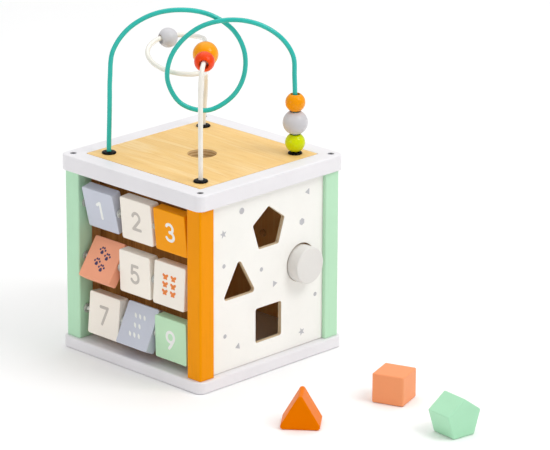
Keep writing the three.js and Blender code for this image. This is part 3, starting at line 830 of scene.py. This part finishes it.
DIGITS = {
    0: [bowl(0, 0.5, 0.27, 0.44, 90, 450)],
    1: [[(-0.17, 0.79), (0.06, 0.94)], [(0.06, 0.94), (0.06, 0.06)]],
    2: [bowl(0, 0.69, 0.25, 0.25, 165, -38) + [(-0.25, 0.06)], [(-0.25, 0.06), (0.28, 0.06)]],
    3: [bowl(-0.02, 0.72, 0.23, 0.22, 150, -90), bowl(-0.02, 0.29, 0.27, 0.23, 90, -155)],
    4: [[(0.12, 0.94), (-0.29, 0.28)], [(-0.29, 0.28), (0.31, 0.28)], [(0.12, 0.94), (0.12, 0.06)]],
    5: [[(0.22, 0.94), (-0.17, 0.94)], [(-0.17, 0.94), (-0.21, 0.53)], bowl(0, 0.34, 0.27, 0.28, 138, -150)],
    6: [bowl(0, 0.33, 0.26, 0.27, 90, 450), [(0.10, 0.94), (-0.06, 0.74), (-0.19, 0.53), (-0.25, 0.38)]],
    7: [[(-0.26, 0.94), (0.26, 0.94)], [(0.26, 0.94), (-0.08, 0.06)]],
    8: [bowl(0, 0.73, 0.21, 0.21, 90, 450), bowl(0, 0.29, 0.26, 0.23, 90, 450)],
    9: [bowl(0, 0.67, 0.26, 0.27, 90, 450), [(-0.10, 0.06), (0.06, 0.26), (0.19, 0.47), (0.25, 0.62)]],
}


def digit(number, height, stroke, u=0.0, v=0.0):
    """Outlines of a number centred on u, v."""
    text = str(number)
    pitch = 0.66 * height
    made = []
    for place, letter in enumerate(text):
        du = u + (place - (len(text) - 1) / 2) * pitch
        for path in DIGITS[int(letter)]:
            points = [(du + a * height, v + (b - 0.5) * height) for a, b in path]
            if math.dist(points[0], points[-1]) < 1e-6:
                loop = points[:-1]
                made.append((offset(loop, stroke / 2), (offset(loop, -stroke / 2),)))
            else:
                made.append((ribbon(points, stroke), ()))
    return made


# ---- Number tiles on their rods ----
def grid(columns, rows, pitch_u, pitch_v):
    return [
        ((c - (columns - 1) / 2) * pitch_u, ((rows - 1) / 2 - r) * pitch_v)
        for r in range(rows)
        for c in range(columns)
    ]


def paw(u, v):
    """A rounded pad with four toes."""
    pad = [(moved(rounded_polygon(3, 3.7 * MM, 1.5 * MM), u, v - 1.6 * MM), ())]
    toes = [(-3.5, 0.9), (-1.3, 3.0), (1.3, 3.0), (3.5, 0.9)]
    return pad + [(circle(1.2 * MM, u + a * MM, v + b * MM, 16), ()) for a, b in toes]


def butterfly(u, v):
    """Two pairs of wings about a short body: each wing is (across, up, half length, half width, lean)."""
    made = [(ribbon([(u, v - 2.1 * MM), (u, v + 1.6 * MM)], 1.0 * MM), ())]
    for side in (-1, 1):
        for across, up, long, wide, lean in ((2.1, 1.3, 2.1, 1.5, 36), (1.4, -1.4, 1.5, 1.15, -46)):
            wing = [(long * a * MM, wide * b * MM) for a, b in circle(1, count=20)]
            made.append((moved(wing, u + side * across * MM, v + up * MM, side * math.radians(lean)), ()))
    return made


def leaf(u, v):
    """A short slanted leaf."""
    half, fat = 3.3 * MM, 1.35 * MM
    side = [(half - 2 * half * i / 8, fat * math.sin(math.pi * i / 8)) for i in range(9)]
    other = [(-a, -b) for a, b in side[1:-1]]
    return [(moved(side + other, u, v, math.radians(-50)), ())]


def drawn(one, spots):
    return [outline for u, v in spots for outline in one(u * MM, v * MM)]


def blossom(u, v):
    return [(circle(1.25 * MM, u + 1.7 * MM * math.cos(a), v + 1.7 * MM * math.sin(a), 18), ())
            for a in [math.tau * i / 5 for i in range(5)]]


def heart(u, v):
    lobe = [(circle(1.5 * MM, u + side * 1.3 * MM, v + 0.8 * MM, 20), ()) for side in (-1, 1)]
    return lobe + [([(u - 2.55 * MM, v + 0.05 * MM), (u, v - 3 * MM), (u + 2.55 * MM, v + 0.05 * MM)], ())]


def spot(u, v):
    return [(circle(2 * MM, u, v, 28), ())]


def little_star(u, v):
    return [(moved(star(5, 2.9 * MM, 1.25 * MM), u, v), ())]


PAW_SPOTS = [(-3.8, 8.5), (5.4, 3.7), (-4.9, -3.6), (3.8, -8.6)]
LEAF_SPOTS = [(-6.3, 9.4), (0, 9.4), (6.3, 9.4), (-3.2, 0), (3.2, 0), (-6.3, -9.4), (0, -9.4), (6.3, -9.4)]
THREE_SPOTS = [(0, 7), (-7, -5), (7, -5)]
FIVE_SPOTS = [(-9, 9), (9, 9), (0, 0), (-9, -9), (9, -9)]
SEVEN_SPOTS = [(-10, 9), (0, 9), (10, 9), (0, 0), (-10, -9), (0, -9), (10, -9)]

# For each tile: its picture, where the picture repeats, the picture's ink and the digit's ink.
# Tiles in PICTURE_FIRST show the picture on the outer side at rest.
TILES = {
    1: ("tile_blue", heart, [(0, 0)], "ink_white", "ink_white"),
    2: ("tile_white", spot, grid(2, 1, 12, 0), "ink_teal", "ink_digit_grey"),
    3: ("tile_orange", little_star, THREE_SPOTS, "ink_white", "ink_white"),
    4: ("tile_coral", paw, PAW_SPOTS, "ink_plum", "ink_white"),
    5: ("tile_white", blossom, FIVE_SPOTS, "ink_coral", "ink_digit_grey"),
    6: ("tile_white", butterfly, grid(2, 3, 11.2, 7.8), "ink_coral", "ink_digit_grey"),
    7: ("tile_white", spot, SEVEN_SPOTS, "ink_slate", "ink_digit_grey"),
    8: ("tile_blue", leaf, LEAF_SPOTS, "ink_white", "ink_white"),
    9: ("tile_mint", little_star, grid(3, 3, 10, 9), "ink_white", "ink_white"),
}
PICTURE_FIRST = (4, 6, 8)
TILE_CORNER = 2.3 * MM
TILE_SIDE = 43.85 * MM
TILE_THICK = 12 * MM
DIGIT_HEIGHT = 19.5 * MM
DIGIT_STROKE = 3.1 * MM


def make_tiles():
    for number, (slot, picture, spots, picture_ink, digit_ink) in TILES.items():
        body = f"tile_{number}"
        centre = Vector(JOINTS[body + "_spin"]["pos_m"])
        out = face_normal(body, -Y)
        up = out.cross(X)
        bore = (size_of("rod_1").y / 2) + 0.1 * MM
        half = TILE_SIDE / 2
        outline = rounded_box(-half, half, -half, half, TILE_CORNER)
        place = basis(X, up, centre)
        piece = plate(body + "_wood", outline, (), -TILE_THICK / 2, TILE_THICK / 2, FILLET_TILE, place, 5)
        past = half + MM
        drill = turned("drill", [(0, -past), (bore, -past), (bore, past), (0, past)], along_x(centre), 48)
        carve(piece, [drill])
        give(piece, slot, body, body)
        front = basis(X, up, centre + out * (TILE_THICK / 2))
        rear = basis(X, -up, centre - out * (TILE_THICK / 2))  # upright once the tile is turned over
        shapes = drawn(picture, spots)
        numeral = digit(number, DIGIT_HEIGHT, DIGIT_STROKE)
        if number in PICTURE_FIRST:
            front, rear = rear, front
        print_on(body + "_digit", numeral, front, digit_ink, body, slot)
        print_on(body + "_picture", shapes, rear, picture_ink, body, slot)


def make_rods():
    for row in (1, 2, 3):
        low, high, at = span(f"rod_{row}")
        radius = (high.y - low.y) / 2
        half = (high.x - low.x) / 2
        edge = 0.4 * MM
        profile = [(0, -half), (radius - edge, -half), (radius, -half + edge)]
        profile += [(radius, half - edge), (radius - edge, half), (0, half)]
        give(turned(f"rod_{row}_steel", profile, along_x(at), 48), "rod_paint", "root", f"rod_{row}")
        for column in (1, 2, 3, 4):
            make_spacer(f"spacer_{row}_{column}", radius + 0.3 * MM)


def make_spacer(node, bore):
    low, high, at = span(node)
    half = (high.x - low.x) / 2
    outer = (high.z - low.z) / 2
    profile = rounded_profile(bore, outer, -half, half, min(0.5 * MM, half * 0.6))
    give(turned(node + "_washer", profile, along_x(at), 40, closed=True), "spacer_plastic", "root", node)


# ---- Sorting blocks ----
def make_blocks():
    low, high, at = span("round_block")
    half = (high.x - low.x) / 2
    outline = circle((high.y - low.y) / 2, count=96)
    place = basis(Y, Z, at)
    piece = plate("round_block_wood", outline, (), -half, half, FILLET_BLOCK, place, 5)
    give(piece, "block_grey", "round_block", "round_block")

    prism("triangle_block", 3, 24.5 * MM, 3 * MM, -Y, "block_orange")
    prism("pentagon_block", 5, 21.25 * MM, 1.5 * MM, X, "block_mint")

    low, high, at = span("square_block")
    at.z = low.z
    out = face_normal("square_block", X, upright=True)
    outline = rounded_polygon(4, 23.2 * MM, 1.6 * MM, QUARTER / 2)
    place = basis(out, Z.cross(out), at)
    piece = plate("square_block_wood", outline, (), 0, high.z - low.z, FILLET_BLOCK, place, 5)
    give(piece, "block_coral", "square_block", "square_block")


BLOCK_HALF = 14.93 * MM


def prism(node, sides, radius, corner, towards, slot):
    """A block lying on one of its long sides, one end of it facing roughly towards."""
    low, high, at = span(node)
    out = face_normal(node, towards, upright=True)
    at.z = low.z + radius * math.cos(math.pi / sides)
    outline = rounded_polygon(sides, radius, corner)
    place = basis(Z.cross(out), Z, at)
    piece = plate(node + "_wood", outline, (), -BLOCK_HALF, BLOCK_HALF, FILLET_BLOCK * 0.8, place, 5)
    give(piece, slot, node, node)


# ---- Clock ----
OUTER_RING = (66 * MM, 66 * MM - 3 * MM)
INNER_RING = (30 * MM, 28.6 * MM)
NUMERAL_REACH = 51 * MM
NUMERAL_HEIGHT = 11 * MM
NUMERAL_STROKE = 1.5 * MM
HOUR_TICK = (37.5 * MM, 1.4 * MM)  # where it starts, and its width
MINUTE_TICK = (39.5 * MM, 0.6 * MM)
TICK_END = 42 * MM
HAND_BORE_RADIUS = 2.06 * MM


def make_dial(face):
    rings = [
        (circle(outer, count=count), (circle(inner, count=count),))
        for (outer, inner), count in ((OUTER_RING, 120), (INNER_RING, 96))
    ]
    print_on("dial_ring", rings, face, "ink_teal")
    numerals, ticks = [], []
    for hour in range(1, 13):
        a = QUARTER - math.tau * hour / 12
        u, v = NUMERAL_REACH * math.cos(a), NUMERAL_REACH * math.sin(a)
        numerals += digit(hour, NUMERAL_HEIGHT, NUMERAL_STROKE, u, v)
        for minute in range(5):
            b = a + math.tau * minute / 60
            start, width = HOUR_TICK if minute == 0 else MINUTE_TICK
            path = [(reach * math.cos(b), reach * math.sin(b)) for reach in (start, TICK_END)]
            ticks.append((ribbon(path, width), ()))
    print_on("dial_numerals", numerals, face, "ink_slate")
    print_on("dial_ticks", ticks, face, "ink_slate")


def hand_outline(hub, arm, tip, reach):
    """A hand pointing up: a round hub, an arm of half width arm, and a rounded tip."""
    start = math.acos(arm / hub)
    points = arc(0, 0, hub, math.pi - start, 2 * math.pi + start)
    return points + arc(0, reach - tip, tip, 0, math.pi)


def make_clock():
    pin_low, pin_high, at = span("clock_pin")
    hands = (
        ("hour_hand", 8 * MM, 4 * MM, 30 * MM, 55, "orange_paint"),
        ("minute_hand", 6.5 * MM, 3 * MM, 46 * MM, -60, "mint_paint"),
    )
    for node, hub, arm, reach, turn, slot in hands:
        low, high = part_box(node)
        outline = moved(hand_outline(hub, arm, 0.6 * arm, reach), 0, 0, math.radians(turn))
        bore = circle(HAND_BORE_RADIUS, count=48)
        place = basis(-X, Z, Vector((at.x, low.y, at.z)))
        give(plate(node + "_wood", outline, [bore], 0, high.y - low.y, 0.5 * MM, place), slot, node, node)
    place = Matrix.Translation((at.x, 0, at.z)) @ Matrix.Rotation(-QUARTER, 4, "X")
    head = (pin_high.x - pin_low.x) / 2
    shank = 2 * MM
    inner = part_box("clock_panel")[0].y - 0.3 * MM
    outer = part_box("minute_hand")[1].y + 0.3 * MM
    edge = 0.5 * MM
    profile = [(0, pin_low.y), (head - edge, pin_low.y), (head, pin_low.y + edge), (head, inner)]
    profile += [(shank, inner), (shank, outer), (head, outer), (head, outer + edge)]
    profile += dome(head, head, outer + edge, pin_high.y - outer - edge)
    piece = turned("clock_pin_steel", profile[:-1] + [(0, pin_high.y)], place, 48)
    give(piece, "dark_steel", "root", "clock_pin", "pin_lacquer")


# ---- Lid and grommets ----
FINGER_HOLE_RADIUS = 14.5 * MM
LEG_HOLE_RADIUS = 5 * MM


def make_lid():
    low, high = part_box("lid_panel")
    holes = [circle(FINGER_HOLE_RADIUS, count=96)]
    legs = [middle(f"grommet_{i}") for i in range(1, 5)]
    holes += [circle(LEG_HOLE_RADIUS, leg.x, leg.y, 40) for leg in legs]
    outline = rounded_box(low.x, high.x, low.y, high.y, 2 * MM)
    mesh = plate_mesh("lid_panel_board", outline, holes, low.z, high.z, 0.45 * MM, None, 3)
    give(sided(mesh, ("plywood", "ply_edge", "plywood"), Z, 0.5, -0.5), "plywood", "lid", "lid_panel")


def make_grommets():
    for i in range(1, 5):
        low, high, at = span(f"grommet_{i}")
        place = Matrix.Translation((at.x, at.y, 0))
        rim = (high.y - low.y) / 2
        bottom, top = low.z, high.z
        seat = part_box("lid_panel")[1].z + 0.15 * MM
        bore, neck = 2.6 * MM, 4.7 * MM
        profile = [(bore + 0.3 * MM, bottom), (neck - 0.3 * MM, bottom), (neck, bottom + 0.3 * MM)]
        profile += [(neck, seat), (rim - 0.2 * MM, seat), (rim, seat + 0.25 * MM), (rim, seat + 0.7 * MM)]
        shoulder = 2.6 * MM
        base = seat + 0.7 * MM
        profile += dome(rim, shoulder, base, top - 0.25 * MM - base)
        inner = rim - shoulder - 0.45 * MM
        profile += [(inner, top - 0.4 * MM), (inner - 0.15 * MM, top - 0.3 * MM), (inner - 0.4 * MM, top)]
        profile += [(bore + 0.5 * MM, top), (bore + 0.1 * MM, top - 0.3 * MM), (bore, top - 0.8 * MM)]
        profile.append((bore, bottom + 0.3 * MM))
        piece = turned(f"grommet_{i}_rubber", profile, place, 48, closed=True)
        give(piece, "black_plastic", "lid", f"grommet_{i}")


# ---- Bead maze ----
LEG = middle("grommet_2").x * math.sqrt(2)
WIRE_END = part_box("teal_wire")[0].z / MM
WIRE_RADIUS = 2.4 * MM
RING_CENTRE = Vector(JOINTS["bead_ring_swing"]["pos_m"])
RING_RADIUS = 37.2 * MM
RING_TILT = math.radians(15.5)
RING_ROLL = math.radians(4)
RING_BEAD_AT = 118  # degrees round the ring
ACROSS = Vector((1, 1, 0)).normalized()
BACK = Vector((-1, 1, 0)).normalized()


def maze(across, back, z):
    """A place in millimetres: across the near diagonal, towards the back, and up."""
    return (ACROSS * across + BACK * back + Z * z) * MM


def on_ring(degrees):
    """A point of the white wire's ring: 0 is across, 90 towards the back."""
    across = Matrix.Rotation(RING_ROLL, 3, BACK) @ ACROSS
    uphill = Matrix.Rotation(RING_TILT, 3, ACROSS) @ BACK
    a = math.radians(degrees)
    return RING_CENTRE + (across * math.cos(a) + uphill * math.sin(a)) * RING_RADIUS


def teal_route():
    leg = LEG / MM
    return [maze(*point) for point in (
        (-leg, 0, WIRE_END), (-leg, 0, 212), (-91.3, 0, 235), (-90.8, 0, 255), (-90.2, 0, 280),
        (-87.1, 0, 307), (-71.7, 0, 329.8), (-46.3, 0.5, 344.8), (-18, 1, 348.7), (8.3, 2, 343.5),
        (30.5, 3.2, 328), (41.7, 3, 305.9), (41.1, 2, 281.2), (29.8, 1, 260.8), (5.5, 0, 246.9),
        (-20.3, -1, 254), (-33.4, -2, 276.7), (-31.4, -2.6, 298.8), (-20, -3.2, 318), (1.2, -3.4, 334),
        (30, -3, 339.9), (56.8, -2, 334.8), (78.2, -1, 320.7), (89.5, 0, 302.5), (91, 0, 281),
        (leg, 0, 240), (leg, 0, WIRE_END),
    )]


def white_route():
    leg = LEG / MM
    front = [maze(*point) for point in (
        (0, -leg, WIRE_END), (0, -leg, 283), (0.2, -91, 299), (1.2, -86, 311), (2.8, -76, 316.5),
        (4, -60, 318.3), (4.4, -38, 318), (4.2, -14, 315.5), (3.8, 6, 313), (2.8, 24, 311),
        (1.5, 40, 308.9), (-2, 54, 306.3), (-6.1, 64, 304.3), (-11.3, 72, 302.9),
    )]
    back = [maze(*point) for point in (
        (-1.5, 10, 281.8), (2, 22, 278.5), (3.2, 36, 275.5), (3.4, 52, 271.5), (3.2, 70, 266),
        (2.9, 84, 257), (2.6, 91, 244), (1.4, leg, 226), (0.3, leg, 212), (0, leg, 203),
        (0, leg, WIRE_END),
    )]
    return front + [on_ring(degrees) for degrees in range(90, 281, 19)] + back


def smooth_route(points, per_span=14):
    """A centripetal Catmull-Rom curve through the points."""
    ends = [2 * points[0] - points[1], *points, 2 * points[-1] - points[-2]]
    made = []
    for p0, p1, p2, p3 in zip(ends, ends[1:], ends[2:], ends[3:]):
        d0 = max((p1 - p0).length, 1e-9) ** 0.5
        d1 = max((p2 - p1).length, 1e-9) ** 0.5
        d2 = max((p3 - p2).length, 1e-9) ** 0.5
        t1 = ((p1 - p0) / d0 - (p2 - p0) / (d0 + d1) + (p2 - p1) / d1) * d1
        t2 = ((p2 - p1) / d1 - (p3 - p1) / (d1 + d2) + (p3 - p2) / d2) * d1
        a = 2 * p1 - 2 * p2 + t1 + t2
        b = -3 * p1 + 3 * p2 - 2 * t1 - t2
        for t in [i / per_span for i in range(per_span)]:
            made.append(((a * t + b) * t + t1) * t + p1)
    made.append(points[-1].copy())
    return made


def tube(name, path, radius, sides):
    """A round tube with flat closed ends; its section is carried along without twist."""
    vertices, faces = [], []
    along = (path[1] - path[0]).normalized()
    side = along.orthogonal().normalized()
    last = len(path) - 1
    for i, point in enumerate(path):
        ahead = (path[min(last, i + 1)] - path[max(0, i - 1)]).normalized()
        side = (side - ahead * side.dot(ahead)).normalized()
        other = ahead.cross(side)
        for k in range(sides):
            a = math.tau * k / sides
            vertices.append(point + (side * math.cos(a) + other * math.sin(a)) * radius)
    for i in range(last):
        bridge(faces, i * sides, (i + 1) * sides, sides)
    faces.append(tuple(range(sides))[::-1])
    faces.append(tuple(last * sides + k for k in range(sides)))
    return link_mesh(name, mesh_from(name, vertices, faces), 60)


def make_wires():
    teal = tube("teal_wire_coated", smooth_route(teal_route()), WIRE_RADIUS, WIRE_SIDES)
    give(teal, "teal_paint", "lid", "teal_wire")
    white = tube("white_wire_coated", smooth_route(white_route()), WIRE_RADIUS, WIRE_SIDES)
    give(white, "white_wire_paint", "lid", "white_wire")


def bead_profile(radius, bore):
    """A ball with a wide hole whose rims are rounded over."""
    rim = 0.55 * MM
    first = math.asin((bore + rim * 0.9) / radius)
    angles = [first + (math.pi - 2 * first) * i / 22 for i in range(23)]
    outer = [(radius * math.sin(a), -radius * math.cos(a)) for a in angles]
    end = outer[-1][1]
    top = [(bore + 0.32 * MM, end - 0.02 * MM), (bore + 0.08 * MM, end - 0.25 * MM), (bore, end - 0.65 * MM)]
    bottom = [(r, -z) for r, z in reversed(top)]
    return outer + top + bottom


SMALL_BEAD = (10 * MM, 4.7 * MM)  # radius and bore
LARGE_BEAD = (12.5 * MM, 4.9 * MM)


def make_beads():
    beads = {
        "bead_lime": (SMALL_BEAD, Z, "bead_lime"),
        "bead_grey": (LARGE_BEAD, Z, "bead_grey"),
        "bead_orange": (SMALL_BEAD, Z, "bead_orange"),
        "bead_red": (SMALL_BEAD, maze(0.06, 1, 0.12), "bead_red"),
        "bead_amber": (LARGE_BEAD, maze(0, 1, -0.03), "bead_amber"),
        "bead_ring": (SMALL_BEAD, on_ring(RING_BEAD_AT + 5) - on_ring(RING_BEAD_AT - 5), "bead_grey"),
    }
    for node, ((radius, bore), direction, slot) in beads.items():
        turn = direction.normalized().to_track_quat("Z", "X").to_matrix().to_4x4()
        place = Matrix.Translation(middle(node)) @ turn
        give(turned(node + "_ball", bead_profile(radius, bore), place, 64, closed=True), slot, node, node)


# ---- Stage, light and camera ----
FLOOR_HALF = 12.0
FLOOR_DROP = 0.2 * MM  # so that it doesn't coincide with the undersides that stand on it
LAMPS = (  # name, place, width, power
    ("key", (2.1, 0.75, 2.5), 1.4, 36),
    ("fill", (-0.5, -3.0, 1.2), 1.6, 11),
    ("top", (-0.3, 0.6, 3.2), 4.2, 57),
)
LAMP_TARGET = Vector((0, 0, 0.1))


def make_stage():
    mesh = bpy.data.meshes.new("floor")
    corners = [(-FLOOR_HALF, -FLOOR_HALF, 0), (FLOOR_HALF, -FLOOR_HALF, 0)]
    corners += [(FLOOR_HALF, FLOOR_HALF, 0), (-FLOOR_HALF, FLOOR_HALF, 0)]
    mesh.from_pydata(corners, [], [(0, 1, 2, 3)])
    floor = add_object("floor", mesh)
    recipe = Recipe("floor_paper", Roughness=0.9, Specular_IOR_Level=0.1)
    recipe.shader.inputs["Base Color"].default_value = (0.96, 0.96, 0.96, 1)
    mesh.materials.append(recipe.material)
    floor.location.z = -FLOOR_DROP


def make_lights():
    world = bpy.data.worlds.new("studio")
    bpy.context.scene.world = world
    world.use_nodes = True
    back = world.node_tree.nodes["Background"]
    back.inputs["Color"].default_value = (1.0, 1.0, 1.0, 1)
    back.inputs["Strength"].default_value = 0.55
    for name, place, width, power in LAMPS:
        data = bpy.data.lights.new(name, "AREA")
        data.size = width
        data.energy = power
        lamp = add_object(name, data)
        lamp.location = place
        lamp.rotation_mode = "QUATERNION"
        lamp.rotation_quaternion = (Vector(place) - LAMP_TARGET).to_track_quat("Z", "Y")
    settings = bpy.context.scene.view_settings
    settings.view_transform = "Standard"
    settings.look = "None"


CAMERA_AZIMUTH = 44.618
CAMERA_ELEVATION = 18.505
CAMERA_ROLL = 0.246
CAMERA_DISTANCE = 3.555
CAMERA_LENS = 233.8
CAMERA_TARGET = Vector((0.0515, 0.0509, 0.128))


def make_camera():
    data = bpy.data.cameras.new("camera")
    data.sensor_width = 36
    data.lens = CAMERA_LENS
    data.clip_end = 50
    camera = add_object("camera", data)
    a = math.radians(CAMERA_AZIMUTH)
    e = math.radians(CAMERA_ELEVATION)
    back = Vector((math.sin(a) * math.cos(e), -math.cos(a) * math.cos(e), math.sin(e)))
    camera.location = CAMERA_TARGET + back * CAMERA_DISTANCE
    camera.rotation_mode = "QUATERNION"
    roll = Matrix.Rotation(math.radians(CAMERA_ROLL), 3, back).to_quaternion()
    camera.rotation_quaternion = roll @ back.to_track_quat("Z", "Y")
    bpy.context.scene.camera = camera


make_camera()
make_materials()
make_base()
make_top_frame()
make_frame_screws()
make_posts()
make_panels()
make_tiles()
make_rods()
make_blocks()
make_clock()
make_lid()
make_grommets()
make_wires()
make_beads()
make_stage()
make_lights()
